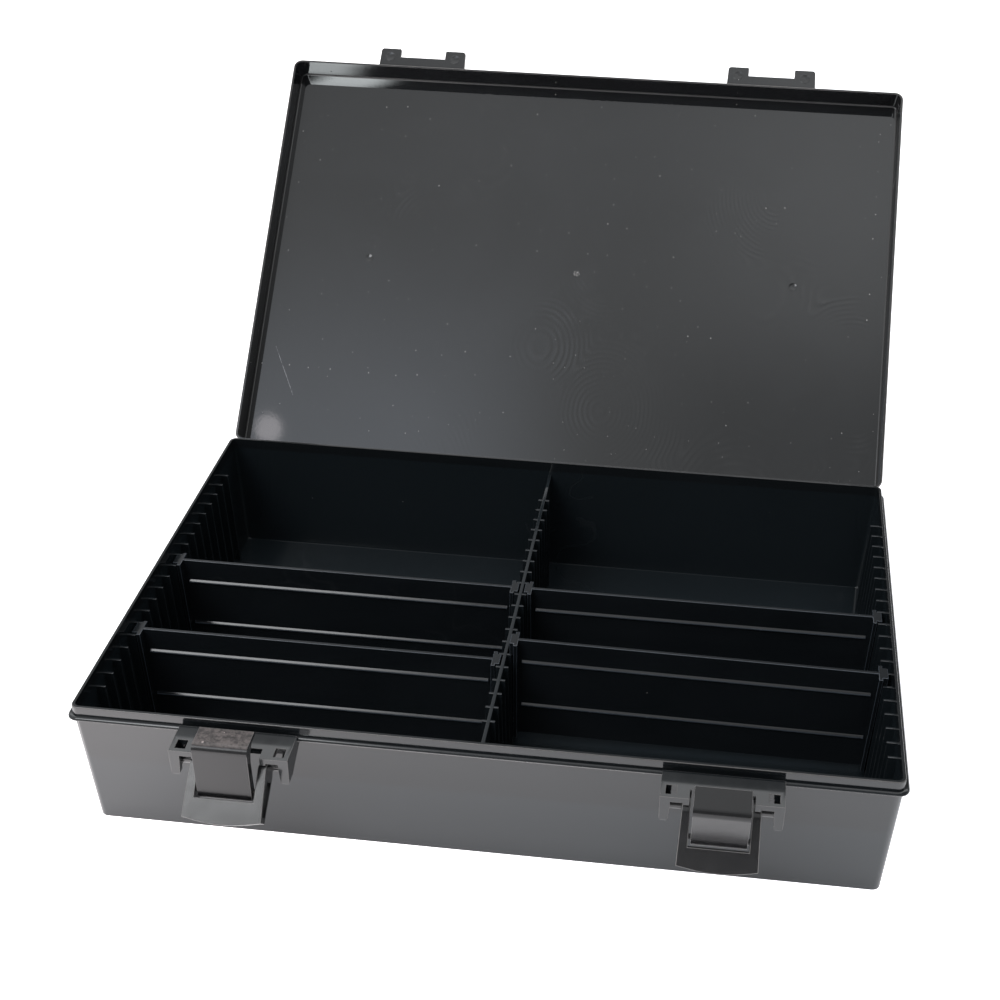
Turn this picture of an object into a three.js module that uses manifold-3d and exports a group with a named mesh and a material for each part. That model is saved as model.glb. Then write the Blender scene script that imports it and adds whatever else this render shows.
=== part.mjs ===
// Parts sorting tray: a shallow hinged case in black moulded plastic. The base has a fixed centre
// wall and rows of upright guide ribs; four lift-out dividers drop between the ribs. The lid turns
// on two rear hinges, and two toggle latches on the front hook over tabs on the lid.
// Millimetres, +Z up, X across the front, Y from front to back.
// Origin: centre of the underside of the base.
import * as THREE from 'three';
import { mergeVertices } from 'three/addons/utils/BufferGeometryUtils.js';
import Module from 'manifold-3d';

// ---------- dimensions shared between pieces ----------
const WIDTH = 335.6, DEPTH = 224;     // outer size of the lid; insets are measured in from it
const CORNER_R = 4.3;                 // plan corner radius of the lid
const FLOOR = 2.0;                    // floor thickness
const FLANGE_Z0 = 55.2, FLANGE_Z1 = 56.9;   // flange underside, and the ledge the lid closes on

const RIBS = 20, PITCH = 9.05, RIB_BACK = 85.1;     // guide ribs per row, spacing, y of the rearmost
const SIDE_DRAFT = 1.4;                             // draft of the side rib tips, rib top to floor
const MID_TIP_TOP = 2.75, MID_TIP_BOTTOM = 3.2;     // x of the centre rib tips
const slotY = (slot) => RIB_BACK - PITCH * (slot - 0.5);    // slot 1 is behind the second rib

const HINGE_X = 96.4, HINGE_Y = 114.9, HINGE_Z = 54.8;
const KNUCKLE_R = 2.55, PIN_R = 1.25, PIN_BORE_R = 1.62;
const PIN_HALF = 22.8, BORE_HALF = 24;
const LID_Z = 58.4;                   // tab level of the closed lid

const LATCH_X = 96.4;
const PIVOT_Y = -122.5, PIVOT_Z = 50.6;     // lever pivot
const CLAW_PIVOT = [-3.2, -11.6];           // claw pivot (y, z) from that of the closed lever

const SIDES = [-1, 1];                // left, right

// ---------- solid helpers ----------
const kernel = await Module();
kernel.setup();

const toSolid = (geometry) => {
  geometry.deleteAttribute('normal');
  geometry.deleteAttribute('uv');
  const merged = mergeVertices(geometry, 1e-4);
  return new kernel.Manifold(new kernel.Mesh({
    numProp: 3,
    vertProperties: new Float32Array(merged.attributes.position.array),
    triVerts: new Uint32Array(merged.index.array),
  }));
};
const toGeometry = (body) => {
  const mesh = body.getMesh();
  const geometry = new THREE.BufferGeometry();
  const points = new Float32Array(mesh.vertProperties);
  geometry.setAttribute('position', new THREE.BufferAttribute(points, 3));
  geometry.setIndex(new THREE.BufferAttribute(new Uint32Array(mesh.triVerts), 1));
  geometry.computeVertexNormals();
  return geometry;
};
const join = (solids) => solids.reduce((sum, next) => sum.add(next));
const cut = (body, tools) => tools.reduce((rest, tool) => rest.subtract(tool), body);

// span from `near` to `far`, both measured from `centre` towards `side`
const spanOn = (side, near, far, centre = 0) =>
  (side > 0 ? [centre + near, centre + far] : [centre - far, centre - near]);
const about = (centre, half) => [centre - half, centre + half];

// moves every vertex by a map (x, y, z) => [x, y, z]
const reshape = (geometry, map) => {
  const pos = geometry.attributes.position;
  for (let i = 0; i < pos.count; i++) {
    pos.setXYZ(i, ...map(pos.getX(i), pos.getY(i), pos.getZ(i)));
  }
  return geometry;
};
// closed outline of [x, y] points extruded up +Z from z = 0
const extrude = (outline, depth, steps = 1) => {
  const shape = new THREE.Shape();
  shape.setFromPoints(outline.map(([x, y]) => new THREE.Vector2(x, y)));
  return new THREE.ExtrudeGeometry(shape, { depth, steps, bevelEnabled: false });
};
// (y, z) profile swept along x; `bend` can move its vertices
const sweepX = (profile, [x0, x1], bend = (...point) => point) =>
  toSolid(reshape(extrude(profile, x1 - x0), (x, y, z) => bend(z + x0, x, y)));
// (x, z) profile swept along y
const sweepY = (profile, [y0, y1]) =>
  toSolid(reshape(extrude(profile, y1 - y0), (x, y, z) => [x, y1 - z, y]));
// box from its spans; given top spans, it tapers to them
const box = (spanX, spanY, spanZ, topX = spanX, topY = spanY) =>
  toSolid(reshape(new THREE.BoxGeometry(1, 1, 1), (x, y, z) => [
    (z > 0 ? topX : spanX)[+(x > 0)],
    (z > 0 ? topY : spanY)[+(y > 0)],
    spanZ[+(z > 0)],
  ]));

const roundedRect = (width, depth, radius) => {
  const segments = 5, outline = [];
  for (const [sx, sy, start] of [[1, 1, 0], [-1, 1, 90], [-1, -1, 180], [1, -1, 270]]) {
    for (let i = 0; i <= segments; i++) {
      const angle = ((start + (90 * i) / segments) * Math.PI) / 180;
      outline.push([
        sx * (width / 2 - radius) + radius * Math.cos(angle),
        sy * (depth / 2 - radius) + radius * Math.sin(angle),
      ]);
    }
  }
  return outline;
};
// The corner signs already place each centre, so every angle is measured from +X.
// Prism on a rounded rectangle through [z, inset] levels, each scaled in by its inset.
const levelPrism = (width, depth, radius, levels) => {
  const steps = levels.length - 1;
  return toSolid(reshape(extrude(roundedRect(width, depth, radius), steps, steps), (x, y, level) => {
    const [z, inset] = levels[Math.round(level)];
    return [x * (1 - inset / (width / 2)), y * (1 - inset / (depth / 2)), z];
  }));
};

const rodGeometry = (y, z, radius, [x0, x1]) => {
  const segments = 16;
  const geometry = new THREE.CylinderGeometry(radius, radius, x1 - x0, segments);
  geometry.rotateZ(Math.PI / 2);
  geometry.rotateX(Math.PI / segments);
  return geometry.translate((x0 + x1) / 2, y, z);
};
const rod = (y, z, radius, span) => toSolid(rodGeometry(y, z, radius, span));
// arc points in a (y, z) profile, angles in degrees from +Y towards +Z
const arc = (y, z, radius, start, end, segments) =>
  Array.from({ length: segments + 1 }, (_, i) => {
    const angle = ((start + ((end - start) * i) / segments) * Math.PI) / 180;
    return [y + radius * Math.cos(angle), z + radius * Math.sin(angle)];
  });

// ---------- latch bracket ----------
const BRACKET_HALF = 23.9, BRACKET_FRONT = -127.0;
const BRACKET_TOP = 58.2, BRACKET_DROP = 0.5;     // top, and its fall to the front edge
const BRACKET_BACK = -112.25;                     // rear edge, just clear of the lid's rim
const CHEEK_NEAR = 19.8;                          // inner face of the cheeks, from the latch centre
const CUT_HALF = 12.5, CUT_BACK = -121.6;         // front cut-out for the claw
const STOP_FAR = 14.9, STOP_BACK = -124.9, STOP_Z = [54.3, 56];
const SOCKET_R = 2.3, SOCKET_SPAN = [19.0, 22.7]; // lever pivot sockets
const GROOVE_HALF = 1.6, GROOVE_SPAN = [19.0, 21.0], GROOVE_Z0 = 44;
const POCKET_SPAN = [17.7, 21.8], POCKET_Y = [-125.1, -120.4], POCKET_Z = [53.5, 60];

// (y, z) side view of the top plate
const PLATE_PROFILE = [
  [BRACKET_FRONT, FLANGE_Z0], [-110.6, FLANGE_Z0], [-110.6, FLANGE_Z1 - 0.2],
  [BRACKET_BACK, FLANGE_Z1 - 0.2], [BRACKET_BACK, BRACKET_TOP], [-118.4, BRACKET_TOP],
  [BRACKET_FRONT, BRACKET_TOP - BRACKET_DROP],
];
// (y, z) side view of a cheek
const CHEEK_PROFILE = [
  [BRACKET_FRONT, BRACKET_TOP - 1], [BRACKET_FRONT, 46.2], [-126.8, 45.5], [-126.2, 45.2],
  [-124.4, 45.2], [-110.4, 53.2], [-110.0, 53.2], [-110.0, FLANGE_Z0 + 0.6],
  [BRACKET_BACK - 0.2, BRACKET_TOP - 1],
];
// front view of a cheek: [distance from the latch centre, z]
const CHEEK_FACE = [
  [CHEEK_NEAR, 57.2], [CHEEK_NEAR, 53.4], [20.3, 46.5], [20.8, 45.6], [21.6, 45.2],
  [22.5, 45.2], [23.3, 45.6], [23.8, 46.6], [BRACKET_HALF, 53.4], [BRACKET_HALF, 57.2],
];
const CHEEK_FACE_Y = [-128, -108];                // sweep that takes in the whole cheek

function bracket(centre) {
  const parts = [sweepX(PLATE_PROFILE, about(centre, BRACKET_HALF))];
  const cuts = [
    box(about(centre, CUT_HALF), [BRACKET_FRONT - 1, CUT_BACK], [50, 60]),
  ];
  for (const side of SIDES) {
    const span = (near, far) => spanOn(side, near, far, centre);
    const face = CHEEK_FACE.map(([x, z]) => [centre + side * x, z]);
    parts.push(
      sweepX(CHEEK_PROFILE, span(CHEEK_NEAR, BRACKET_HALF)).intersect(sweepY(face, CHEEK_FACE_Y)),
      // stop block over each lever arm
      box(span(CUT_HALF, STOP_FAR), [BRACKET_FRONT, STOP_BACK], STOP_Z),
    );
    cuts.push(
      // rectangular pocket down through the top
      box(span(...POCKET_SPAN), POCKET_Y, POCKET_Z),
      // pivot socket, and a groove up to it from below
      rod(PIVOT_Y, PIVOT_Z, SOCKET_R, span(...SOCKET_SPAN)),
      box(span(...GROOVE_SPAN), about(PIVOT_Y, GROOVE_HALF), [GROOVE_Z0, PIVOT_Z]),
    );
  }
  return cut(join(parts), cuts);
}

// ---------- base ----------
const LIP_OUT = 0.4;                  // flange stands out past the lid at the sides and the front
const COLLAR_Z = 61.0, COLLAR_OUT = 1.45, COLLAR_IN = 2.8;    // upstanding collar: top and insets
const WALL_OUT_TOP = 1.75, WALL_OUT_BOTTOM = 3.9;             // outer wall insets
const WALL_IN_BOTTOM = 5.5;                                   // inner wall inset at the floor
const ROOT_Z = FLOOR - 1;             // feet of the ribs and centre wall, sunk in the floor

const CENTRE_TOP = 53.6;
const CENTRE_HALF = { top: 0.75, bottom: 1.0 };               // half thickness
const CENTRE_END = { top: 2.6, bottom: 4.2 };                 // inset of its ends

const RIB_T = 1.2, RIB_TOP = 53.5, MID_RIB_TOP = RIB_TOP - 0.1;
const RIB_EMBED = 0.6;                // how far side ribs run into the wall
const SIDE_TIP = 161.0;               // x of the side rib tips at the top

const BASE_KNUCKLES = [[-23, -15.2], [-3.8, 3.8], [15.2, 23]];      // x spans from the hinge centre
const REAR_ROOT = 109.2;              // y inside the rear wall where webs and gussets start
const GUSSET_OFFSET = 31, GUSSET_HALF = 1.5;
// (y, z) profiles: the web below a knuckle, and the gussets beside each hinge
const WEB_PROFILE = [
  [REAR_ROOT, 54.9], [REAR_ROOT, 42], [110.4, 42], [HINGE_Y + 2.3, 53.6], [HINGE_Y, 54.9],
];
const GUSSET_PROFILE = [
  [REAR_ROOT, 52.6], [REAR_ROOT, 36], [110.0, 36], [121.0, 48.8], [122.4, 50.1], [120.1, 52.6],
];

function tub() {
  const wallDraft = WALL_OUT_BOTTOM - WALL_OUT_TOP;
  const cavityDraft = WALL_IN_BOTTOM - COLLAR_IN;
  // every table below lists [z, inset]
  const shell = levelPrism(WIDTH - 2 * WALL_OUT_TOP, DEPTH - 2 * WALL_OUT_TOP, 3.4, [
    [0, wallDraft + 0.35], [0.15, wallDraft + 0.1], [0.45, wallDraft], [FLANGE_Z0 + 0.5, 0],
  ]);
  const flange = levelPrism(WIDTH + 2 * LIP_OUT, DEPTH + LIP_OUT, CORNER_R + LIP_OUT, [
    [FLANGE_Z0, 0.4], [FLANGE_Z0 + 0.15, 0.12], [FLANGE_Z0 + 0.4, 0], [FLANGE_Z0 + 0.7, 0.05],
    [FLANGE_Z0 + 1.05, 0.22], [FLANGE_Z0 + 1.35, 0.46], [FLANGE_Z0 + 1.58, 0.76],
    [FLANGE_Z1, 1.2],
  ]).translate([0, -LIP_OUT / 2, 0]);
  const collar = levelPrism(WIDTH - 2 * COLLAR_OUT, DEPTH - 2 * COLLAR_OUT, 3.1, [
    [FLANGE_Z1 - 0.6, 0], [COLLAR_Z - 0.35, 0.08], [COLLAR_Z - 0.1, 0.18], [COLLAR_Z, 0.4],
  ]);
  const cavity = levelPrism(WIDTH - 2 * COLLAR_IN, DEPTH - 2 * COLLAR_IN, 2.2, [
    [FLOOR, cavityDraft + 0.5], [FLOOR + 0.7, cavityDraft], [COLLAR_Z + 1, -0.03],
  ]);
  return join([shell, flange, collar]).subtract(cavity);
}

function centreWall() {
  return box(
    about(0, CENTRE_HALF.bottom), about(0, DEPTH / 2 - CENTRE_END.bottom), [ROOT_Z, CENTRE_TOP],
    about(0, CENTRE_HALF.top), about(0, DEPTH / 2 - CENTRE_END.top),
  );
}

function ribs() {
  // share of the draft at height z: 0 at the rib top, 1 at the floor
  const draftAt = (z) => (RIB_TOP - z) / (RIB_TOP - FLOOR);
  const midTip = (z) => MID_TIP_TOP + (MID_TIP_BOTTOM - MID_TIP_TOP) * draftAt(z);
  const wallInset = (z) =>
    COLLAR_IN + ((COLLAR_Z - z) / (COLLAR_Z - FLOOR)) * (WALL_IN_BOTTOM - COLLAR_IN);
  const sideSpan = (side, z) =>
    spanOn(side, SIDE_TIP - SIDE_DRAFT * draftAt(z), WIDTH / 2 - wallInset(z) + RIB_EMBED);

  const parts = [];
  for (let i = 0; i < RIBS; i++) {
    const spanY = about(RIB_BACK - PITCH * i, RIB_T / 2);
    for (const side of SIDES) {
      parts.push(box(sideSpan(side, ROOT_Z), spanY, [ROOT_Z, RIB_TOP], sideSpan(side, RIB_TOP)));
    }
    // one rib through the centre wall makes the pair on its two faces
    const foot = about(0, midTip(ROOT_Z));
    parts.push(box(foot, spanY, [ROOT_Z, MID_RIB_TOP], about(0, midTip(RIB_TOP))));
  }
  return parts;
}

function baseHinge(centre) {
  const parts = [];
  for (const [x0, x1] of BASE_KNUCKLES) {
    const span = [centre + x0, centre + x1];
    parts.push(rod(HINGE_Y, HINGE_Z, KNUCKLE_R, span), sweepX(WEB_PROFILE, span));
  }
  for (const side of SIDES) {
    parts.push(sweepX(GUSSET_PROFILE, about(centre + side * GUSSET_OFFSET, GUSSET_HALF)));
  }
  return parts;
}

// pin bores of both hinges, at height z
const pinBores = (z) =>
  SIDES.map((side) => rod(HINGE_Y, z, PIN_BORE_R, about(side * HINGE_X, BORE_HALF)));

function base() {
  const hinges = SIDES.flatMap((side) => baseHinge(side * HINGE_X));
  const body = cut(join([tub(), centreWall(), ...ribs(), ...hinges]), pinBores(HINGE_Z));
  return toGeometry(join([body, bracket(-LATCH_X), bracket(LATCH_X)]));
}

// ---------- lid (built closed, z = 0 at tab level; origin then moved to the hinge axis) ----------
const LID_H = 11.8, LID_SKIRT = 1.3;          // height above tab level, and rim below it
const LID_WALL = 1.2;
const LID_PANEL_Z = 10.2, LID_PANEL_IN = 1.8; // underside of the top panel, and its inset
const LID_HINGE_Z = HINGE_Z - LID_Z;
const LID_KNUCKLES = [[-14.8, -4.2], [4.2, 14.8]];
// tab: half width, reach at the notch and at the ears, notch half width, thickness
const TAB = { half: 24, mid: 6, ear: 11, notch: 12.4, thickness: 2.0, z: 0.1 };
// right half of the tab outline: [x from its centre, reach forward of the lid]
const TAB_HALF_OUTLINE = [
  [TAB.half, -1.0], [TAB.half - 0.4, TAB.ear - 1], [TAB.half - 1.4, TAB.ear],
  [TAB.notch + 0.6, TAB.ear], [TAB.notch, TAB.ear - 0.6], [TAB.notch, TAB.mid],
];
// (y, z) profile of the arm from the rear wall to a knuckle
const ARM_PROFILE = [
  [110.9, 0.4], [112.4, 0.2], [112.4, LID_HINGE_Z + 0.6], [HINGE_Y, LID_HINGE_Z - 0.6],
  [HINGE_Y + 2.45, LID_HINGE_Z + 0.4], [HINGE_Y + 2.3, LID_HINGE_Z + 2.2],
  [113.4, 5.2], [111.2, 8.5], [110.9, 8.5],
];

function lidTab(centre) {
  const half = (side) =>
    TAB_HALF_OUTLINE.map(([x, reach]) => [centre + side * x, -DEPTH / 2 - reach]);
  const outline = [...half(-1), ...half(1).reverse()];
  return toSolid(extrude(outline, TAB.thickness).translate(0, 0, TAB.z));
}

function lid() {
  const panelStep = LID_PANEL_IN - LID_WALL;
  // both tables list [z, inset]
  const outer = levelPrism(WIDTH, DEPTH, CORNER_R, [
    [-LID_SKIRT, 0.25], [0.3 - LID_SKIRT, 0], [LID_H - 3, 0.5], [LID_H - 1.6, 0.85],
    [LID_H - 0.5, 1.7], [LID_H, 3.0],
  ]);
  const inside = levelPrism(WIDTH - 2 * LID_WALL, DEPTH - 2 * LID_WALL, CORNER_R - LID_WALL, [
    [-LID_SKIRT - 1, 0], [3.0, 0.05], [LID_PANEL_Z - 0.25, panelStep],
    [LID_PANEL_Z, panelStep + 0.25],
  ]);
  const parts = [outer.subtract(inside)];
  for (const side of SIDES) {
    parts.push(lidTab(side * LATCH_X));
    for (const [x0, x1] of LID_KNUCKLES) {
      const span = [side * HINGE_X + x0, side * HINGE_X + x1];
      parts.push(rod(HINGE_Y, LID_HINGE_Z, KNUCKLE_R, span), sweepX(ARM_PROFILE, span));
    }
  }
  const body = cut(join(parts), pinBores(LID_HINGE_Z));
  return toGeometry(body).translate(0, -HINGE_Y, -LID_HINGE_Z);
}

// ---------- dividers (x out from the centre wall; y = 0 on the slot) ----------
const DIVIDER_Z = [2.45, 54.0], DIVIDER_T = 1.6;
const MID_SHIFT = MID_TIP_BOTTOM - MID_TIP_TOP;   // the ends follow the draft of the ribs
// slabs: x near, x far, half thickness, then the shift of near and far at the bottom
const DIVIDER_SLABS = [
  [4.0, 159.6, DIVIDER_T / 2, MID_SHIFT, -SIDE_DRAFT],    // panel
  [158.9, 160.6, 5.1, -SIDE_DRAFT, -SIDE_DRAFT],          // outer cross plate
  [160.2, 162.9, 3.5, -SIDE_DRAFT, -SIDE_DRAFT],          // outer tongue, between the side ribs
  [3.15, 4.9, 5.1, MID_SHIFT, MID_SHIFT],                 // inner cross plate
  [1.4, 3.5, 3.5, MID_SHIFT, MID_SHIFT],                  // inner tongue, between the centre ribs
];
const RIDGE_HEIGHTS = [42.1, 18.4], RIDGE_SPAN = [6.5, 157.0];    // stiffening ridges
const RIDGE_ROOT = -DIVIDER_T / 2 + 0.3;          // just inside the front face
// ridge profile: [y from the root, z from the ridge height]
const RIDGE_PROFILE = [[0, 1.6], [-1.15, 0.5], [-1.2, 0.1], [-0.9, -0.2], [0, -0.3]];

function divider(side) {
  const slabs = DIVIDER_SLABS.map(([near, far, half, nearShift, farShift]) =>
    box([near + nearShift, far + farShift], about(0, half), DIVIDER_Z, [near, far]));
  const ridges = RIDGE_HEIGHTS.map((height) =>
    sweepX(RIDGE_PROFILE.map(([y, z]) => [RIDGE_ROOT + y, height + z]), RIDGE_SPAN));
  const geometry = toGeometry(join([...slabs, ...ridges]));
  if (side < 0) {
    // mirrored across x, so that the ridges still face the front
    reshape(geometry, (x, y, z) => [-x, y, z]);
    const index = geometry.index.array;
    for (let i = 0; i < index.length; i += 3) {
      [index[i], index[i + 1]] = [index[i + 1], index[i]];
    }
    geometry.computeVertexNormals();
  }
  return geometry;
}

// ---------- latch lever (closed and upright; origin on its pivot) ----------
const LEVER_H = 23.0;                         // length below the pivot
const LEVER_FRONT = -5.6;
const ARM_NEAR = 11.85, ARM_FAR = 15.2;       // x of the arms' faces
const ARM_FLARE = 0.7;                        // outward flare of the arms at LEVER_H
const FLAP_TOP = -15.1, FLAP_BACK = -3.7, FLAP_BULGE = 1.9;
// (y, z) side view of an arm, rounded over the pivot
const LEVER_ARM_PROFILE = [
  [LEVER_FRONT, -LEVER_H], [LEVER_FRONT, -1.8], [-4.9, -0.5], ...arc(0, 0, 4.15, 150, 0, 8),
  [4.7, -1.5], [5.4, -4.5], [0.6, -22.4], [0.0, -LEVER_H],
];
const RECESS_PROFILE = [[-4.3, -20.6], [-4.3, -6.6], [3.3, -6.6], [-0.4, -20.6]];

// flap across the arms, its lower edge a shallow parabola
function leverFlap() {
  const segments = 12, edge = [];
  for (let i = 0; i <= segments; i++) {
    const across = (2 * i) / segments - 1;
    edge.push([ARM_FAR * across, -LEVER_H - FLAP_BULGE * (1 - across ** 2)]);
  }
  return [[-ARM_FAR, FLAP_TOP], ...edge, [ARM_FAR, FLAP_TOP]];
}

function lever() {
  // moves only the outermost vertices, outwards in proportion to their depth below the pivot
  const flare = (x, y, z) => {
    const shift = Math.abs(x) > 15 ? ARM_FLARE * Math.max(0, -z / LEVER_H) : 0;
    return [x + Math.sign(x) * shift, y, z];
  };
  const flap = reshape(
    extrude(leverFlap(), FLAP_BACK - LEVER_FRONT),
    (x, y, z) => flare(x, FLAP_BACK - z, y),
  );
  const parts = [
    ...SIDES.map((side) => sweepX(LEVER_ARM_PROFILE, spanOn(side, ARM_NEAR, ARM_FAR), flare)),
    toSolid(flap),
  ];
  let body = join(parts);
  for (const side of SIDES) {
    body = body.add(rod(0, 0, 1.9, spanOn(side, 14.4, 22.3)));    // pivot pin
    body = cut(body, [
      // blind socket for the claw's pivot, and a shallow recess along the outer face
      rod(...CLAW_PIVOT, 1.55, spanOn(side, 11.0, 13.7)),
      sweepX(RECESS_PROFILE, spanOn(side, 14.6, 17)),
    ]);
  }
  return toGeometry(body);
}

// ---------- latch claw (upright; origin on its pivot) ----------
const CLAW_HALF = 10.9, CLAW_RIB_T = 1.4, CLAW_PIN_HALF = 13.4;
// (y, z) side views of the hooked plate and of the rib at each end of it
const CLAW_PROFILE = [
  [-2.4, -2.0], ...arc(0.7, 20.6, 3.1, 180, 90, 6), [9.3, 23.7], [9.7, 23.3], [9.7, 22.2],
  [9.3, 21.9], ...arc(1.7, 20.2, 1.7, 90, 180, 3), [0, 1.4], [0, -2.2], [-2.2, -2.2],
];
const CLAW_RIB_PROFILE = [
  [-1.2, 1.0], [-1.2, 22.4], [5.6, 22.4], [2.4, 18.8], [1.5, 15.5], [1.5, 1.0],
];

function claw() {
  return toGeometry(join([
    sweepX(CLAW_PROFILE, about(0, CLAW_HALF)),
    rod(0, 0, 2.0, about(0, CLAW_HALF)),
    ...SIDES.map((side) =>
      sweepX(CLAW_RIB_PROFILE, spanOn(side, CLAW_HALF - CLAW_RIB_T, CLAW_HALF))),
    rod(0, 0, 1.2, about(0, CLAW_PIN_HALF)),
  ]));
}

// ---------- materials ----------
const plastic = ({ color, roughness }) =>
  new THREE.MeshStandardMaterial({ color, roughness, metalness: 0.0 });
const MATERIALS = {
  base: plastic({ color: 0x1b1c1d, roughness: 0.3 }),
  lid: plastic({ color: 0x1c1d1e, roughness: 0.28 }),
  lever: plastic({ color: 0x18191a, roughness: 0.42 }),
  claw: plastic({ color: 0x1a1b1c, roughness: 0.38 }),
  divider: plastic({ color: 0x161718, roughness: 0.3 }),
  pin: new THREE.MeshStandardMaterial({ color: 0xb8babd, roughness: 0.35, metalness: 1.0 }),
};

// ---------- assembly (angles in degrees) ----------
const LID_OPEN = 138.6;
// leverOpen: lever swung out from upright; clawLean: top of the claw leaning away from the case
const LATCHES = [
  { name: 'left', side: -1, leverOpen: 45.5, clawLean: 0 },
  { name: 'right', side: 1, leverOpen: 25, clawLean: 19.5 },
];
const RADIANS = Math.PI / 180;

const tray = new THREE.Group();
const put = (name, geometry, material, position, { turnX = 0, turnY = 0 } = {}) => {
  const mesh = new THREE.Mesh(geometry, material);
  mesh.name = name;
  mesh.position.set(...position);
  mesh.rotation.set(turnX * RADIANS, turnY * RADIANS, 0);
  tray.add(mesh);
};

put('case_base', base(), MATERIALS.base, [0, 0, 0]);
put('lid', lid(), MATERIALS.lid, [0, HINGE_Y, HINGE_Z], { turnX: -LID_OPEN });

for (const { name, side, leverOpen, clawLean } of LATCHES) {
  const pin = rodGeometry(0, 0, PIN_R, about(0, PIN_HALF));
  put(`hinge_pin_${name}`, pin, MATERIALS.pin, [side * HINGE_X, HINGE_Y, HINGE_Z]);

  const latchX = side * LATCH_X;
  put(`latch_lever_${name}`, lever(), MATERIALS.lever, [latchX, PIVOT_Y, PIVOT_Z],
    { turnX: -leverOpen });

  // the claw's pivot is carried round by the lever
  const [y, z] = CLAW_PIVOT;
  const sin = Math.sin(leverOpen * RADIANS), cos = Math.cos(leverOpen * RADIANS);
  put(`latch_claw_${name}`, claw(), MATERIALS.claw,
    [latchX, PIVOT_Y + y * cos + z * sin, PIVOT_Z + z * cos - y * sin], { turnX: clawLean });
}

const putDivider = (name, side, position, turn) =>
  put(`divider_${name}`, divider(side), MATERIALS.divider, position, turn);
putDivider('rear_left', -1, [0, slotY(9), 0]);
putDivider('front_left', -1, [0, slotY(15), 0]);
putDivider('rear_right', 1, [0, slotY(9), 0]);

// the front right divider stands a little proud of its slot, tilted about (x, z) near its middle
const TILT = 0.6, TILT_X = 82, TILT_Z = 28, TILT_LIFT = 3.8;
const tiltSin = Math.sin(TILT * RADIANS), tiltCos = Math.cos(TILT * RADIANS);
putDivider('front_right', 1, [
  TILT_X - TILT_X * tiltCos - TILT_Z * tiltSin,
  slotY(14),
  TILT_LIFT + TILT_Z - TILT_Z * tiltCos + TILT_X * tiltSin,
], { turnY: TILT });

export default tray;
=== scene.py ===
import bpy, bmesh, math
import numpy as np
from mathutils import Matrix, Vector


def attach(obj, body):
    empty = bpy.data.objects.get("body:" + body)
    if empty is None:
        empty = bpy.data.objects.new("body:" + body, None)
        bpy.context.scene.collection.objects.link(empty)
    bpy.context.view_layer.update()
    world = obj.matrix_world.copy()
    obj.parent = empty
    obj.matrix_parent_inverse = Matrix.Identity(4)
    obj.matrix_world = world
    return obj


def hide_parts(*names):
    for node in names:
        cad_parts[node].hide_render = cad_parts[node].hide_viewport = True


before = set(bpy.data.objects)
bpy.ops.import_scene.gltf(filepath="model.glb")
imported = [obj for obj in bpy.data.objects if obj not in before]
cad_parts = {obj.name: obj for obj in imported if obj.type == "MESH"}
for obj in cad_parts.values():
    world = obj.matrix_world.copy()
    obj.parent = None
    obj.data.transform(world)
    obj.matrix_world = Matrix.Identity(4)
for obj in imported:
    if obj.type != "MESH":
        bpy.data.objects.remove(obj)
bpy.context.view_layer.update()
MM = 0.001
scene = bpy.context.scene


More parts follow.
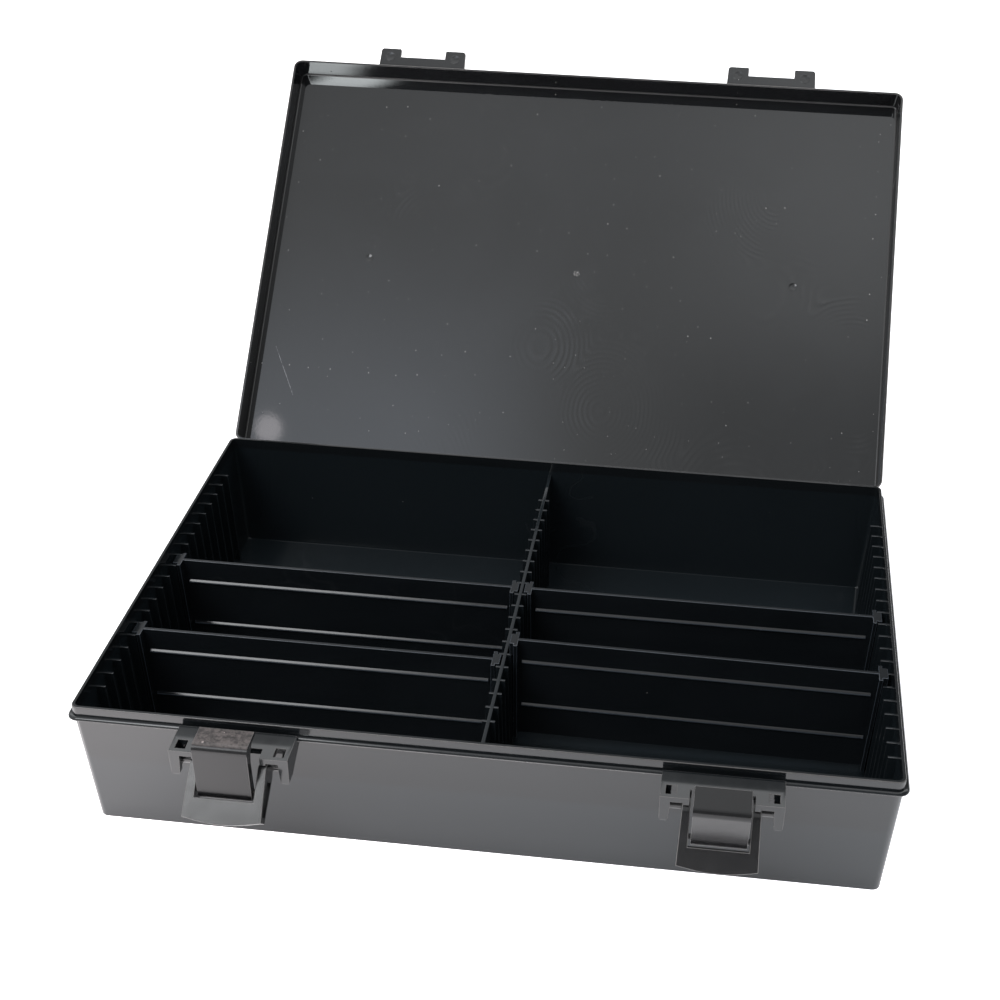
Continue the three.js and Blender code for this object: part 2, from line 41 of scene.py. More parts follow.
# ------------------------------------------------------------------ materials
class Net:
    """Small helper for building a node tree."""

    def __init__(self, name):
        self.mat = bpy.data.materials.new(name)
        self.mat.use_nodes = True
        self.t = self.mat.node_tree
        self.t.nodes.clear()
        self.co = self.node("ShaderNodeTexCoord").outputs["Object"]

    def node(self, kind, **props):
        n = self.t.nodes.new(kind)
        for k, v in props.items():
            setattr(n, k, v)
        return n

    def put(self, socket, value):
        if hasattr(value, "is_output") or isinstance(value, bpy.types.NodeSocket):
            self.t.links.new(value, socket)
        else:
            socket.default_value = value

    def mapping(self, scale=(1, 1, 1), loc=(0, 0, 0), rot=(0, 0, 0), src=None):
        m = self.node("ShaderNodeMapping")
        self.put(m.inputs["Vector"], src or self.co)
        m.inputs["Scale"].default_value = scale
        m.inputs["Location"].default_value = loc
        m.inputs["Rotation"].default_value = rot
        return m.outputs["Vector"]

    def noise(self, scale, detail=3.0, rough=0.5, vec=None, distortion=0.0):
        n = self.node("ShaderNodeTexNoise")
        self.put(n.inputs["Vector"], vec or self.co)
        n.inputs["Scale"].default_value = scale
        n.inputs["Detail"].default_value = detail
        n.inputs["Roughness"].default_value = rough
        n.inputs["Distortion"].default_value = distortion
        return n.outputs["Fac"]

    def voronoi(self, scale, feature="F1", vec=None, out="Distance", rnd=1.0):
        n = self.node("ShaderNodeTexVoronoi", feature=feature)
        self.put(n.inputs["Vector"], vec or self.co)
        n.inputs["Scale"].default_value = scale
        n.inputs["Randomness"].default_value = rnd
        return n.outputs[out]

    def math(self, op, a, b=0.0, clamp=False):
        n = self.node("ShaderNodeMath", operation=op, use_clamp=clamp)
        self.put(n.inputs[0], a)
        self.put(n.inputs[1], b)
        return n.outputs[0]

    def remap(self, v, a, b, c, d):
        n = self.node("ShaderNodeMapRange")
        self.put(n.inputs["Value"], v)
        for i, x in zip((1, 2, 3, 4), (a, b, c, d)):
            n.inputs[i].default_value = x
        return n.outputs["Result"]

    def mix(self, fac, a, b):
        n = self.node("ShaderNodeMix", data_type="RGBA")
        self.put(n.inputs[0], fac)
        self.put(n.inputs[6], a if not isinstance(a, tuple) else (*a, 1))
        self.put(n.inputs[7], b if not isinstance(b, tuple) else (*b, 1))
        return n.outputs[2]

    def bump(self, height, strength, distance, normal=None):
        n = self.node("ShaderNodeBump")
        self.put(n.inputs["Height"], height)
        n.inputs["Strength"].default_value = strength
        n.inputs["Distance"].default_value = distance
        if normal is not None:
            self.put(n.inputs["Normal"], normal)
        return n.outputs["Normal"]

    def finish(self, color, rough, normal, ior=1.49, metallic=0.0, spec=0.5):
        p = self.node("ShaderNodeBsdfPrincipled")
        self.put(p.inputs["Base Color"], color if not isinstance(color, tuple) else (*color, 1))
        self.put(p.inputs["Roughness"], rough)
        p.inputs["IOR"].default_value = ior
        p.inputs["Metallic"].default_value = metallic
        p.inputs["Specular IOR Level"].default_value = spec
        if normal is not None:
            self.put(p.inputs["Normal"], normal)
        o = self.node("ShaderNodeOutputMaterial")
        self.t.links.new(p.outputs[0], o.inputs["Surface"])
        return self.mat


def dust(n, density=55.0, size=0.10, keep=0.82, seed=0.0, flat=False):
    """Sparse fine specks: one in a few cells carries a small pale dot. flat spreads the cells over x and y only."""
    v = n.mapping(loc=(seed, seed * 0.7, seed * 0.3))
    pick = n.node("ShaderNodeTexVoronoi", feature="F1", voronoi_dimensions="2D" if flat else "3D")
    n.put(pick.inputs["Vector"], v)
    pick.inputs["Scale"].default_value = density
    d = pick.outputs["Distance"]
    sep = n.node("ShaderNodeSeparateColor")
    n.put(sep.inputs[0], pick.outputs["Color"])
    chosen = n.math("GREATER_THAN", sep.outputs[0], keep)
    # the dot's size changes from cell to cell
    r = n.math("MULTIPLY", sep.outputs[1], size)
    dot = n.math("LESS_THAN", d, r)
    return n.math("MULTIPLY", chosen, dot)


def hair(n, scale=9.0, width=0.012, seed=0.0, stretch=(1, 1, 1)):
    """Thin curved lines where a distorted noise crosses its middle value, broken up by a second noise."""
    v = n.mapping(loc=(seed, seed, seed), scale=stretch)
    a = n.noise(scale, 1.5, 0.5, v, 0.6)
    line = n.math("LESS_THAN", n.math("ABSOLUTE", n.math("SUBTRACT", a, 0.5)), width * 0.12)
    gate = n.math("GREATER_THAN", n.noise(scale * 0.55, 2.0, 0.5, v), 0.62)
    return n.math("MULTIPLY", line, gate)


def moulded(name, color, rough, var=0.05, grain=0.0, wave=0.4, scratch=0.25, dusty=0.5, spec=0.5, seed=0.0, rub=0.0, inside=0.0):
    """Moulded black plastic: flow variation in colour and gloss, slight unflatness, fine scuffs and dust, and where
    asked a painted sheen on the faces down inside the case.
    """
    n = Net(name)
    flow = n.noise(11.0, 4.0, 0.6, n.mapping(scale=(1, 1, 1.6), loc=(seed, 0, 0)), 0.8)
    fine = n.noise(240.0, 3.0, 0.6)
    lighter = tuple(min(1, c * 1.4) for c in color)
    base = n.mix(n.remap(flow, 0.3, 0.7, 0, 1), color, lighter)
    if inside:
        # painted sheen: the faces down inside the compartments are coloured a lighter blue-black, standing in for soft
        # bluish light from above
        at = n.node("ShaderNodeSeparateXYZ")
        n.put(at.inputs[0], n.co)
        low = n.math("LESS_THAN", at.outputs[2], 0.0560)
        inner = n.math("MULTIPLY", n.math("LESS_THAN", n.math("ABSOLUTE", at.outputs[0]), 0.1655), n.math("LESS_THAN", n.math("ABSOLUTE", at.outputs[1]), 0.1094))
        base = n.mix(n.math("MULTIPLY", n.math("MULTIPLY", low, inner), inside), base, (0.0098, 0.0134, 0.0160))
    specks = dust(n, density=80.0, size=0.034, keep=0.80, seed=seed)
    fluff = dust(n, density=34.0, size=0.016, keep=0.70, seed=seed + 3.1)
    marks = n.math("MULTIPLY", n.math("MAXIMUM", specks, fluff), dusty)
    base = n.mix(marks, base, (0.30, 0.29, 0.28))
    scuff = n.math("MULTIPLY", hair(n, 26.0, 0.05, seed, (1, 1, 1)), scratch)
    base = n.mix(n.math("MULTIPLY", scuff, 0.25), base, (0.25, 0.25, 0.26))
    if rub:
        # rubbed, greyed faces where the part is pressed from above
        up = n.node("ShaderNodeSeparateXYZ")
        n.put(up.inputs[0], n.node("ShaderNodeNewGeometry").outputs["Normal"])
        top = n.remap(up.outputs[2], 0.80, 0.93, 0.0, 1.0)
        blotch = n.remap(n.noise(520.0, 5.0, 0.7, n.mapping(loc=(seed, 1, 4))), 0.38, 0.62, 0.25, 1.0)
        base = n.mix(n.math("MULTIPLY", n.math("MULTIPLY", top, blotch), rub), base, (0.095, 0.080, 0.077))
        nick = dust(n, density=620.0, size=0.34, keep=0.88, seed=seed + 1.7)
        base = n.mix(n.math("MULTIPLY", n.math("MULTIPLY", nick, top), 0.8), base, (0.34, 0.28, 0.27))
    r = n.math("ADD", n.remap(flow, 0.3, 0.7, rough - var, rough + var), n.remap(fine, 0.35, 0.65, -0.02, 0.02))
    r = n.math("ADD", r, n.math("MULTIPLY", n.math("MAXIMUM", scuff, marks), 0.25), clamp=True)
    nb = n.bump(n.noise(16.0, 1.5, 0.4, n.mapping(loc=(seed, 2, 5))), wave, 0.0012)
    if grain:
        nb = n.bump(n.noise(1900.0, 2.0, 0.6), grain, 0.00006, nb)
    else:
        nb = n.bump(n.noise(900.0, 2.0, 0.5), 0.10, 0.00003, nb)
    return n.finish(base, r, nb, spec=spec)


def segment(n, a, b, half):
    """1 within half of the straight line from a to b, in object coordinates."""
    a, b = Vector(a), Vector(b)
    d = b - a

    def vec(op, x, y=None):
        v = n.node("ShaderNodeVectorMath", operation=op)
        n.put(v.inputs[0], x)
        if y is not None:
            n.put(v.inputs[1], y)
        return v

    rel = vec("SUBTRACT", n.co, tuple(a)).outputs[0]
    t = n.math("DIVIDE", vec("DOT_PRODUCT", rel, tuple(d)).outputs["Value"], d.length_squared, clamp=True)
    sc = vec("SCALE", tuple(d))
    n.put(sc.inputs["Scale"], t)
    gap = vec("LENGTH", vec("SUBTRACT", rel, sc.outputs[0]).outputs[0]).outputs["Value"]
    return n.math("LESS_THAN", gap, half)


def lid_inside(name, color):
    """The lid's plastic: as the case, with faint curved flow ripples on the panel whose lines carry a painted
    reflection, and one long fine scratch.
    """
    n = Net(name)
    flow = n.noise(9.0, 4.0, 0.6, n.mapping(loc=(4, 1, 0)), 0.8)
    base = n.mix(n.remap(flow, 0.3, 0.7, 0, 1), color, tuple(c * 1.6 for c in color))
    specks = dust(n, density=85.0, size=0.026, keep=0.60, seed=7.7, flat=True)
    fluff = dust(n, density=190.0, size=0.042, keep=0.88, seed=2.9, flat=True)
    marks = n.math("MULTIPLY", n.math("MAXIMUM", specks, fluff), 0.5)
    base = n.mix(marks, base, (0.42, 0.41, 0.40))
    # ripples: rings about scattered centres, fading in and out
    cell = n.node("ShaderNodeTexVoronoi", feature="SMOOTH_F1")
    n.put(cell.inputs["Vector"], n.mapping(scale=(1.0, 0.8, 0.8), loc=(0.2, 0.4, 0.1)))
    cell.inputs["Scale"].default_value = 19.0
    cell.inputs["Smoothness"].default_value = 0.2
    wander = n.math("ADD", cell.outputs["Distance"], n.math("MULTIPLY", n.noise(34.0, 2.0, 0.5), 0.06))
    ring = n.math("SINE", n.math("MULTIPLY", wander, 150.0))
    gate = n.remap(n.noise(14.0, 2.0, 0.5, n.mapping(loc=(9, 3, 1))), 0.47, 0.66, 0.0, 1.0)
    fade = n.remap(n.noise(60.0, 2.0, 0.6), 0.34, 0.68, 0.0, 1.0)
    # only on the flat panel, and away from its left end
    facing = n.node("ShaderNodeVectorMath", operation="DOT_PRODUCT")
    n.put(facing.inputs[0], n.node("ShaderNodeTexCoord").outputs["Normal"])
    facing.inputs[1].default_value = (0.0, -0.6613, 0.7501)
    along = n.node("ShaderNodeSeparateXYZ")
    n.put(along.inputs[0], n.co)
    panel = n.math("MULTIPLY", n.math("GREATER_THAN", facing.outputs["Value"], 0.985), n.remap(along.outputs[0], -0.145, -0.095, 0.0, 1.0))
    ripple = n.math("MULTIPLY", n.math("MULTIPLY", ring, n.math("MULTIPLY", gate, panel)), fade)
    # painted reflection: the ripple lines are coloured lighter, standing in for the light the real ripples catch; their
    # relief is the bump below
    base = n.mix(n.remap(ripple, 0.1, 0.9, 0.0, 0.75), base, (0.0150, 0.0154, 0.0162))
    # roughened plastic around the gate mark in the middle of the panel
    reach = n.node("ShaderNodeVectorMath", operation="DISTANCE")
    n.put(reach.inputs[0], n.co)
    reach.inputs[1].default_value = (0.0007, 0.2100, 0.1202)
    burr = n.math("MULTIPLY", n.math("LESS_THAN", reach.outputs["Value"], 0.0017), n.math("GREATER_THAN", n.noise(1500.0, 2.0, 0.6), 0.52))
    base = n.mix(n.math("MULTIPLY", burr, 0.75), base, (0.36, 0.35, 0.34))
    line = segment(n, SCRATCH[0], SCRATCH[1], 0.00016)
    line = n.math("MULTIPLY", line, n.remap(n.noise(420.0, 2.0, 0.6), 0.40, 0.55, 0.15, 1.0))
    base = n.mix(n.math("MULTIPLY", line, 0.75), base, (0.22, 0.22, 0.23))
    rough = n.math("ADD", n.remap(flow, 0.3, 0.7, 0.025, 0.045), n.math("MULTIPLY", marks, 0.3), clamp=True)
    nb = n.bump(n.noise(7.0, 1.2, 0.4, n.mapping(loc=(1, 8, 5))), 0.10, 0.0016)
    nb = n.bump(ripple, 0.12, 0.00010, nb)
    nb = n.bump(n.noise(620.0, 2.0, 0.5), 0.05, 0.00003, nb)
    return n.finish(base, rough, nb)


def wire_steel(name):
    n = Net(name)
    draw = n.noise(900.0, 3.0, 0.6, n.mapping(scale=(0.02, 1, 1)))
    stain = n.noise(300.0, 4.0, 0.6)
    base = n.mix(n.remap(stain, 0.45, 0.7, 0, 1), (0.62, 0.62, 0.63), (0.42, 0.40, 0.38))
    rough = n.remap(draw, 0.3, 0.7, 0.24, 0.42)
    return n.finish(base, rough, n.bump(draw, 0.3, 0.00003), metallic=1.0)


INK = (0.0062, 0.0074, 0.0084)
LATCH = (0.0066, 0.0066, 0.0071)
SCRATCH = ((-0.15688, 0.16975, 0.08476), (-0.14359, 0.14943, 0.06684))
# the edge materials colour the rounded edges lighter than the faces beside them: painted highlights; case_plastic also
# carries a painted sheen inside the compartments
MATS = {
    "case_plastic": moulded("case_plastic", INK, 0.10, var=0.03, wave=0.08, scratch=0.05, dusty=0.45, seed=1.0, inside=0.8),
    "case_edge_highlight": moulded("case_edge_highlight", (0.062, 0.059, 0.058), 0.26, var=0.05, wave=0.08, scratch=0.05, dusty=0.3, seed=1.5),
    "case_inner_edge_highlight": moulded("case_inner_edge_highlight", (0.0105, 0.0122, 0.0140), 0.16, var=0.04, wave=0.08, scratch=0.05, dusty=0.3, seed=1.7),
    "lid_plastic": lid_inside("lid_plastic", (0.0066, 0.0070, 0.0076)),
    "lid_edge_highlight": moulded("lid_edge_highlight", (0.078, 0.071, 0.067), 0.28, var=0.05, wave=0.08, scratch=0.05, dusty=0.3, seed=2.5),
    "lid_corner_highlight": moulded("lid_corner_highlight", (0.020, 0.020, 0.020), 0.14, var=0.03, wave=0.05, scratch=0.05, dusty=0.3, seed=3.5),
    "divider_plastic": moulded("divider_plastic", (0.0062, 0.0076, 0.0090), 0.12, var=0.03, wave=0.1, scratch=0.05, dusty=0.35, seed=5.0),
    "divider_edge_highlight": moulded("divider_edge_highlight", (0.026, 0.032, 0.040), 0.24, var=0.04, wave=0.1, scratch=0.05, dusty=0.3, seed=5.5),
    "latch_plastic": moulded("latch_plastic", LATCH, 0.20, var=0.04, grain=0.45, wave=0.08, scratch=0.03, dusty=0.3, seed=9.0),
    "claw_plastic": moulded("claw_plastic", LATCH, 0.22, var=0.04, grain=0.45, wave=0.08, scratch=0.03, dusty=0.3, seed=9.2, spec=0.32),
    "latch_worn": moulded("latch_worn", LATCH, 0.22, var=0.04, grain=0.45, wave=0.08, scratch=0.03, dusty=0.3, seed=9.0, rub=1.0, spec=0.32),
    "latch_edge_highlight": moulded("latch_edge_highlight", (0.085, 0.082, 0.080), 0.34, var=0.06, grain=0.4, wave=0.08, scratch=0.03, dusty=0.3, seed=9.5),
    "pin_steel": wire_steel("pin_steel"),
}
EDGE_HIGHLIGHT = {"case_plastic": "case_edge_highlight", "lid_plastic": "lid_edge_highlight", "divider_plastic": "divider_edge_highlight", "latch_plastic": "latch_edge_highlight"}


# ------------------------------------------------------------------ meshes
def to_bm(node):
    """A welded working copy of a CAD node's mesh, with flat regions joined back into single faces."""
    bm = bmesh.new()
    bm.from_mesh(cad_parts[node].data)
    bmesh.ops.remove_doubles(bm, verts=bm.verts, dist=2e-6)
    bmesh.ops.dissolve_degenerate(bm, edges=bm.edges, dist=2e-6)
    bmesh.ops.dissolve_limit(bm, angle_limit=math.radians(0.25), verts=bm.verts, edges=bm.edges, delimit=set())
    bm.normal_update()
    return bm


def soften(bm, width, segments=2, min_angle=30.0, min_len=0.9, where=None):
    """Rounds the outward edges that are sharper than min_angle. Each connected run of edges is rounded on its own, so a
    tight spot in one run doesn't thin the rounding of the others."""
    chosen = set()
    for e in bm.edges:
        if len(e.link_faces) != 2 or e.calc_length() < min_len * MM or not e.is_convex:
            continue
        if e.calc_face_angle(0.0) < math.radians(min_angle):
            continue
        if where and not where(e):
            continue
        chosen.add(e)
    runs, seen = [], set()
    for e in sorted(chosen, key=lambda e: e.index):
        if e in seen:
            continue
        run, todo = [], [e]
        seen.add(e)
        while todo:
            c = todo.pop()
            run.append(c)
            for v in c.verts:
                for o in v.link_edges:
                    if o in chosen and o not in seen:
                        seen.add(o)
                        todo.append(o)
        runs.append(run)
    for run in runs:
        run = [e for e in run if e.is_valid]
        if run:
            # the rounded faces take material slot 1, the lighter edge colour: a painted highlight along them
            bmesh.ops.bevel(bm, geom=run, offset=width * MM, offset_type="OFFSET", segments=segments, profile=0.5,
                            affect="EDGES", clamp_overlap=True, loop_slide=True, material=1)
    bm.normal_update()
    return len(runs)


def piece(name, bm, body, slot, nodes=(), sharp=38.0, mat=None):
    bmesh.ops.remove_doubles(bm, verts=bm.verts, dist=1e-6)
    bm.normal_update()
    for f in bm.faces:
        f.smooth = True
    for e in bm.edges:
        if len(e.link_faces) == 2:
            e.smooth = e.calc_face_angle(0.0) < math.radians(sharp)
    me = bpy.data.meshes.new(name)
    bm.to_mesh(me)
    bm.free()
    o = bpy.data.objects.new(name, me)
    scene.collection.objects.link(o)
    me.materials.append(MATS[mat or slot])
    # slot 1: the lighter edge colour, a painted highlight on the rounded edges
    me.materials.append(MATS[EDGE_HIGHLIGHT[slot]])
    if slot == "case_plastic":
        # painted highlight: the rounded edges down inside the compartments get a dimmer highlight colour than the ones
        # outside
        me.materials.append(MATS["case_inner_edge_highlight"])
        for q in me.polygons:
            c = q.center
            if q.material_index == 1 and abs(c.x) < 0.1655 and abs(c.y) < 0.1095 and c.z < 0.0575:
                q.material_index = 2
    w = o.modifiers.new("normals", "WEIGHTED_NORMAL")
    w.mode = "FACE_AREA"
    w.keep_sharp = True
    w.weight = 80
    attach(o, body)
    if nodes:
        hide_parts(*nodes)
    return o


def shell(node, body, slot, width, name, mat=None, **kw):
    bm = to_bm(node)
    bm.edges.index_update()
    soften(bm, width, **kw)
    return piece(name, bm, body, slot, (node,), mat=mat)


shell("case_base", "case", "case_plastic", 0.22, "tray_moulding")
shell("lid", "lid", "lid_plastic", 0.22, "lid_moulding")
for side in ("left", "right"):
    shell(f"latch_lever_{side}", f"lever_{side}", "latch_plastic", 0.28, f"lever_moulding_{side}")
    shell(f"latch_claw_{side}", f"claw_{side}", "latch_plastic", 0.28, f"claw_moulding_{side}",
          mat="latch_worn" if side == "left" else "claw_plastic")
    for k in ("rear", "front"):
        shell(f"divider_{k}_{side}", f"divider_{k}_{side}", "divider_plastic", 0.25, f"divider_moulding_{k}_{side}")
    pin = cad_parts[f"hinge_pin_{side}"]
    pin.data.materials.clear()
    pin.data.materials.append(MATS["pin_steel"])
    b = pin.modifiers.new("edge", "BEVEL")
    b.width, b.segments, b.limit_method, b.angle_limit = 0.0002, 2, "ANGLE", math.radians(40)


# marks left by the mould on the inside of the lid and on its latch tabs
HINGE = Vector((0, 0.1149, 0.0548))
TURN = Matrix.Translation(HINGE) @ Matrix.Rotation(-math.radians(138.6), 4, "X") @ Matrix.Translation(-HINGE)


def lathe(bm, profile, centre, seg=40):
    """Adds a closed turned form, from (radius, drop) pairs in millimetres, hanging below centre in the closed lid's frame."""
    rings = []
    for r, h in profile:
        if r == 0:
            rings.append([bm.verts.new((0, 0, -h * MM))])
        else:
            rings.append([bm.verts.new((r * MM * math.cos(2 * math.pi * k / seg), r * MM * math.sin(2 * math.pi * k / seg), -h * MM)) for k in range(seg)])
    made = [v for r in rings for v in r]
    for p, q in zip(rings, rings[1:]):
        for k in range(seg):
            j = (k + 1) % seg
            if len(p) == 1:
                bm.faces.new((p[0], q[j], q[k]))
            elif len(q) == 1:
                bm.faces.new((p[k], p[j], q[0]))
            else:
                bm.faces.new((p[k], p[j], q[j], q[k]))
    bmesh.ops.translate(bm, verts=made, vec=Vector(centre) * MM)


def lid_marks():
    bm = bmesh.new()
    panel = 58.4 + 10.2
    for x, y in ((-113.2, -0.8), (116.5, -0.1)):
        lathe(bm, [(0, -0.4), (2.35, -0.4), (2.35, 0.02), (2.28, 0.12), (2.1, 0.14), (1.95, 0.05), (0, 0.05)], (x, y, panel))
    lathe(bm, [(0, -0.4), (1.9, -0.4), (1.9, 0.02), (1.82, 0.12), (1.6, 0.10), (1.0, 0.12), (0.85, 0.55), (0.5, 0.78), (0, 0.70)], (0.7, 0.3, panel))
    for s in (-1, 1):
        for k in (-1, 1):
            lathe(bm, [(0, -0.3), (2.7, -0.3), (2.7, 0.01), (2.6, 0.07), (2.45, 0.08), (2.3, 0.03), (0, 0.03)], (s * 96.4 + k * 18.2, -118.0, 58.5))
    bmesh.ops.recalc_face_normals(bm, faces=bm.faces)
    bmesh.ops.transform(bm, matrix=TURN, verts=bm.verts)
    return piece("lid_mould_marks", bm, "lid", "lid_plastic")


lid_marks()


def corner_path(hx, hy, r, d, steps=6):
    """Points round a rounded rectangle, moved d inwards."""
    out = []
    for cx, cy, a0 in ((hx - r, hy - r, 0), (-hx + r, hy - r, 90), (-hx + r, -hy + r, 180), (hx - r, -hy + r, 270)):
        for k in range(steps + 1):
            a = math.radians(a0 + 90 * k / steps)
            out.append(((cx + (r - d) * math.cos(a)) * MM, (cy + (r - d) * math.sin(a)) * MM))
    return out


def lid_fillet():
    """The moulded radius where the lid's sides meet its panel, as a closed ring let into both, coloured lighter than
    the lid as a painted highlight line along the corner.
    """
    section = [(-0.2, -0.2), (0.72, -0.2), (0.72, 0.02), (0.44, 0.07), (0.24, 0.18), (0.10, 0.36), (0.03, 0.60), (0.0, 0.80), (-0.2, 0.80)]
    bm = bmesh.new()
    rings = []
    for d, h in section:
        rings.append([bm.verts.new((x, y, (58.4 + 10.2 - h) * MM)) for x, y in corner_path(167.8 - 1.8, 112 - 1.8, 2.5, d)])
    for i, p in enumerate(rings):
        q = rings[(i + 1) % len(rings)]
        for k in range(len(p)):
            j = (k + 1) % len(p)
            bm.faces.new((p[k], p[j], q[j], q[k]))
    bmesh.ops.recalc_face_normals(bm, faces=bm.faces)
    bmesh.ops.transform(bm, matrix=TURN, verts=bm.verts)
    return piece("lid_corner_fillet", bm, "lid", "lid_plastic", sharp=50.0, mat="lid_corner_highlight")


lid_fillet()

# ------------------------------------------------------------------ studio
def emission(name, color, strength):
    n = Net(name)
    e = n.node("ShaderNodeEmission")
    e.inputs["Color"].default_value = (*color, 1)
    n.put(e.inputs["Strength"], strength)
    o = n.node("ShaderNodeOutputMaterial")
    n.t.links.new(e.outputs[0], o.inputs["Surface"])
    return n.mat


def floor():
    bm = bmesh.new()
    bmesh.ops.create_grid(bm, x_segments=8, y_segments=8, size=30.0)
    me = bpy.data.meshes.new("floor")
    bm.to_mesh(me)
    bm.free()
    o = bpy.data.objects.new("floor", me)
    o.location = (0, 0, -0.0004)
    scene.collection.objects.link(o)
    n = Net("pale_floor")
    d = n.node("ShaderNodeBsdfDiffuse")
    d.inputs["Color"].default_value = (0.86, 0.86, 0.87, 1)
    e = n.node("ShaderNodeEmission")
    sep = n.node("ShaderNodeSeparateXYZ")
    n.put(sep.inputs[0], n.co)
    ramp = n.node("ShaderNodeValToRGB")
    ramp.color_ramp.interpolation = "B_SPLINE"
    el = ramp.color_ramp.elements
    # painted light on the floor: the glow is strongest to the left and falls off to the right, standing in for the
    # studio light on it
    steps = [(0.0, 3.3), (0.27, 3.2), (0.37, 1.9), (0.50, 1.75), (0.64, 1.4), (0.78, 1.55), (1.0, 2.0)]
    while len(el) < len(steps):
        el.new(0.5)
    for p, (at, v) in zip(el, steps):
        p.position, p.color = at, (v / 4, v / 4, v / 4, 1)
    n.put(ramp.inputs[0], n.remap(sep.outputs[0], -0.35, 0.35, 0, 1))
    # painted shadow: the glow is dimmed close in front of the case
    painted_shadow_near = n.remap(sep.outputs[1], -0.165, -0.115, 1.0, 0.78)
    # the floor beside and behind the case is plainly lit, so the side walls and the lid's outside do not mirror a glare
    rear = n.remap(sep.outputs[1], -0.118, -0.07, 1.0, 0.12)
    glow = n.math("MULTIPLY", n.math("MULTIPLY", n.math("MULTIPLY", ramp.outputs[0], 4.0), painted_shadow_near), rear)
    direct = n.node("ShaderNodeLightPath").outputs["Is Camera Ray"]   # a pale floor to the eye, plainly lit in reflections
    n.put(e.inputs["Strength"], n.math("ADD", glow, n.math("MULTIPLY", direct, 0.55)))
    # painted light colour: the glow is warmer to the left and cooler to the right
    tint = n.mix(n.remap(sep.outputs[0], -0.2, 0.2, 0, 1), (1.0, 0.935, 0.94), (0.97, 0.965, 1.0))
    n.put(e.inputs["Color"], tint)
    add = n.node("ShaderNodeAddShader")
    n.t.links.new(d.outputs[0], add.inputs[0])
    n.t.links.new(e.outputs[0], add.inputs[1])
    out = n.node("ShaderNodeOutputMaterial")
    n.t.links.new(add.outputs[0], out.inputs["Surface"])
    me.materials.append(n.mat)
    return o


def area(name, loc, target, size, strength, color=(1, 1, 1), size_y=None, glossy=True, diffuse=True):
    """Area light whose strength is its radiance, so that reflections of it have a known brightness."""
    li = bpy.data.lights.new(name, "AREA")
    li.shape = "RECTANGLE"
    li.size, li.size_y = size, size_y or size
    li.energy = strength * math.pi * size * (size_y or size)
    li.color = color
    o = bpy.data.objects.new(name, li)
    o.location = loc
    o.rotation_mode = "QUATERNION"
    o.rotation_quaternion = (Vector(target) - Vector(loc)).to_track_quat("-Z", "Y")
    o.visible_glossy = glossy
    o.visible_camera = False
    o.visible_diffuse = diffuse
    scene.collection.objects.link(o)
    return o


the_floor = floor()
area("overhead_softbox", (0.1, -0.7, 1.9), (0, 0.0, 0.1), 2.0, 0.5, (1.0, 0.99, 0.985), 1.6, glossy=False)


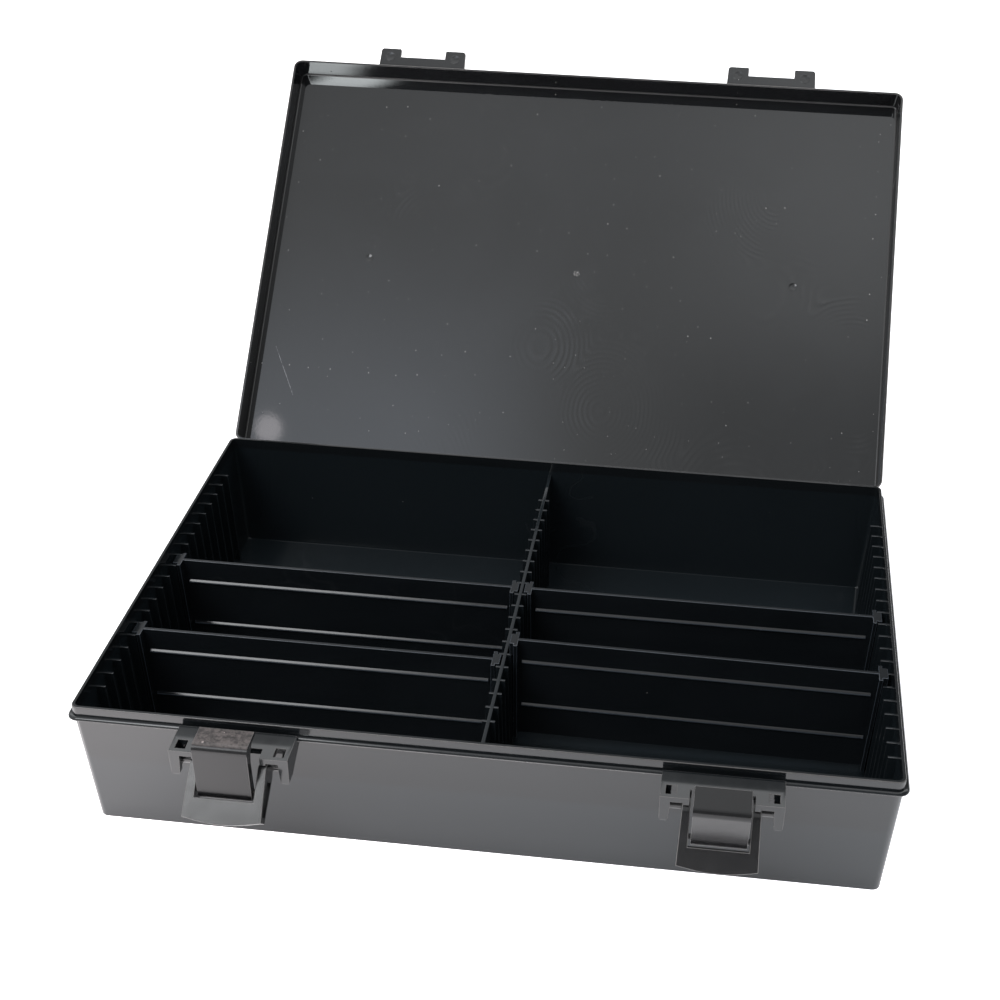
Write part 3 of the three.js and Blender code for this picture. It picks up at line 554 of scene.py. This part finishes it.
def studio_world():
    """Soft studio surroundings: an even ceiling, a brighter left side, a softbox front left, a dark room behind the camera."""
    world = bpy.data.worlds.new("studio")
    scene.world = world
    world.use_nodes = True
    t = world.node_tree
    t.nodes.clear()

    def node(kind, **props):
        n = t.nodes.new(kind)
        for k, v in props.items():
            setattr(n, k, v)
        return n

    def put(sock, v):
        if isinstance(v, bpy.types.NodeSocket):
            t.links.new(v, sock)
        else:
            sock.default_value = v

    def m(op, a, b=0.0):
        n = node("ShaderNodeMath", operation=op)
        put(n.inputs[0], a)
        put(n.inputs[1], b)
        return n.outputs[0]

    def smooth(v, a, b, c, d):
        n = node("ShaderNodeMapRange", interpolation_type="SMOOTHSTEP")
        put(n.inputs["Value"], v)
        for i, x in zip((1, 2, 3, 4), (a, b, c, d)):
            n.inputs[i].default_value = x
        return n.outputs["Result"]

    co = node("ShaderNodeTexCoord").outputs["Generated"]
    sep = node("ShaderNodeSeparateXYZ")
    put(sep.inputs[0], co)
    x, y, z = sep.outputs

    def lamp(direction, inner, outer, strength):
        v = Vector(direction).normalized()
        n = node("ShaderNodeVectorMath", operation="DOT_PRODUCT")
        put(n.inputs[0], co)
        n.inputs[1].default_value = v
        return smooth(n.outputs["Value"], math.cos(math.radians(outer)), math.cos(math.radians(inner)), 0.0, strength)

    left = smooth(x, 0.25, -0.55, 0.0, 1.0)
    behind = smooth(y, 0.15, 0.45, 0.0, 1.0)
    over = smooth(m("DIVIDE", z, m("MAXIMUM", y, 0.05)), 0.97, 1.09, 0.0, 1.0)   # straight rear edge of the ceiling light
    up = smooth(m("SUBTRACT", z, m("MULTIPLY", x, 0.3)), 0.67, 0.77, 0.0, 1.0)
    up = m("ADD", m("MULTIPLY", up, m("SUBTRACT", 1.0, behind)), m("MULTIPLY", over, behind))
    slope = m("ADD", m("ADD", 1.0 + 0.36, x), m("MULTIPLY", y, 1.3))
    slope = m("MAXIMUM", m("MINIMUM", slope, 1.25), 0.80)
    slope = m("ADD", m("MULTIPLY", slope, m("SUBTRACT", 1.0, behind)), behind)
    ceiling = m("MULTIPLY", m("MULTIPLY", up, slope), m("ADD", m("MULTIPLY", left, 0.35), m("ADD", 1.25, m("MULTIPLY", behind, 1.1))))
    room = m("ADD", m("MULTIPLY", left, 0.55), 0.22)
    total = m("ADD", ceiling, m("MULTIPLY", room, m("SUBTRACT", 1.0, up)))
    total = m("ADD", total, lamp((-0.40, -0.55, 0.74), 8, 15, 6.5))
    # tall narrow window, front left
    side = m("ABSOLUTE", m("SUBTRACT", m("DIVIDE", x, m("MINIMUM", y, -0.05)), 0.267))
    window = m("MULTIPLY", smooth(side, 0.010, 0.034, 1.0, 0.0), m("MULTIPLY", smooth(z, 0.10, 0.17, 0.0, 1.0), smooth(z, 0.42, 0.48, 1.0, 0.0)))
    window = m("MULTIPLY", window, smooth(y, -0.5, -0.7, 0.0, 1.0))

    def tinted(value, color):
        n = node("ShaderNodeVectorMath", operation="SCALE")
        n.inputs[0].default_value = color
        put(n.inputs["Scale"], value)
        return n.outputs[0]

    def plus(a, b):
        n = node("ShaderNodeVectorMath", operation="ADD")
        put(n.inputs[0], a)
        put(n.inputs[1], b)
        return n.outputs[0]

    light = tinted(total, (0.97, 0.985, 1.0))
    twice = m("GREATER_THAN", node("ShaderNodeLightPath").outputs["Glossy Depth"], 1.5)   # kept off the plain single reflections
    light = plus(light, tinted(m("MULTIPLY", m("MULTIPLY", window, twice), 98.0), (0.93, 0.985, 1.0)))
    light = plus(light, tinted(lamp((-0.285, -0.385, 0.877), 0.5, 8.5, 1.5), (0.86, 0.93, 1.12)))
    # overhead light over the open lid: an even ceiling, stronger to the rear right, weaker to the front right,
    # with a cooler window glow to the front left
    rear_right = m("MULTIPLY", smooth(x, -0.10, 0.10, 0.0, 0.50), smooth(y, -0.36, -0.22, 0.0, 1.0))
    front_right = m("MULTIPLY", smooth(x, -0.12, 0.06, 0.0, 0.45), smooth(y, -0.28, -0.39, 0.0, 1.0))
    rear_left = m("MULTIPLY", smooth(x, -0.15, -0.28, 0.0, 0.15), smooth(y, -0.28, -0.19, 0.0, 1.0))
    front_left = m("MULTIPLY", smooth(x, -0.06, -0.20, 0.0, 1.10), smooth(y, -0.24, -0.40, 0.0, 1.0))
    even = m("SUBTRACT", m("SUBTRACT", m("ADD", rear_right, 1.32), front_right), rear_left)
    overhead = plus(tinted(even, (0.975, 1.0, 1.02)), tinted(front_left, (0.90, 1.0, 1.18)))
    inside = m("MULTIPLY", m("MULTIPLY", smooth(x, -0.36, -0.30, 0.0, 1.0), smooth(x, 0.11, 0.22, 1.0, 0.0)),
               m("MULTIPLY", smooth(y, -0.45, -0.40, 0.0, 1.0), smooth(y, -0.175, -0.10, 1.0, 0.0)))
    inside = m("MULTIPLY", inside, smooth(z, 0.5, 0.7, 0.0, 1.0))
    blend = node("ShaderNodeMix", data_type="VECTOR")
    put(blend.inputs[0], inside)
    put(blend.inputs[4], light)
    put(blend.inputs[5], overhead)
    light = plus(blend.outputs[1], tinted(lamp((-0.2785, -0.3745, 0.8843), 0.40, 0.56, 4.0), (1.04, 0.97, 1.0)))
    room_bg = node("ShaderNodeBackground")
    put(room_bg.inputs[0], light)
    room_bg.inputs[1].default_value = 1.0
    seen = node("ShaderNodeBackground")
    seen.inputs[0].default_value = (0.98, 0.98, 0.985, 1)
    seen.inputs[1].default_value = 1.15
    mix = node("ShaderNodeMixShader")
    put(mix.inputs[0], node("ShaderNodeLightPath").outputs["Is Camera Ray"])
    t.links.new(room_bg.outputs[0], mix.inputs[1])
    t.links.new(seen.outputs[0], mix.inputs[2])
    t.links.new(mix.outputs[0], node("ShaderNodeOutputWorld").inputs["Surface"])


studio_world()

# ------------------------------------------------------------------ camera
cam = bpy.data.objects.new("camera", bpy.data.cameras.new("camera"))
scene.collection.objects.link(cam)
scene.camera = cam
right = Vector((0.99317498, 0.11495464, 0.01972031))
down = Vector((0.08149286, -0.56298671, -0.82243837))
ahead = Vector((-0.08344083, 0.81843228, -0.5685123))
cam.matrix_world = Matrix((
    (right.x, -down.x, -ahead.x, 0.0833208),
    (right.y, -down.y, -ahead.y, -0.5715489),
    (right.z, -down.z, -ahead.z, 0.4641021),
    (0, 0, 0, 1)))
cam.data.sensor_width = 36.0
cam.data.lens = 1564.826 * 36.0 / 1000.0
cam.data.shift_x = (500.0 - 574.75) / 1000.0
cam.data.shift_y = (578.0747 - 500.0) / 1000.0
cam.data.clip_start, cam.data.clip_end = 0.02, 100.0

scene.view_settings.view_transform = "Standard"
scene.view_settings.look = "None"
scene.view_settings.exposure = 0.0
scene.cycles.max_bounces = 8
scene.cycles.glossy_bounces = 5
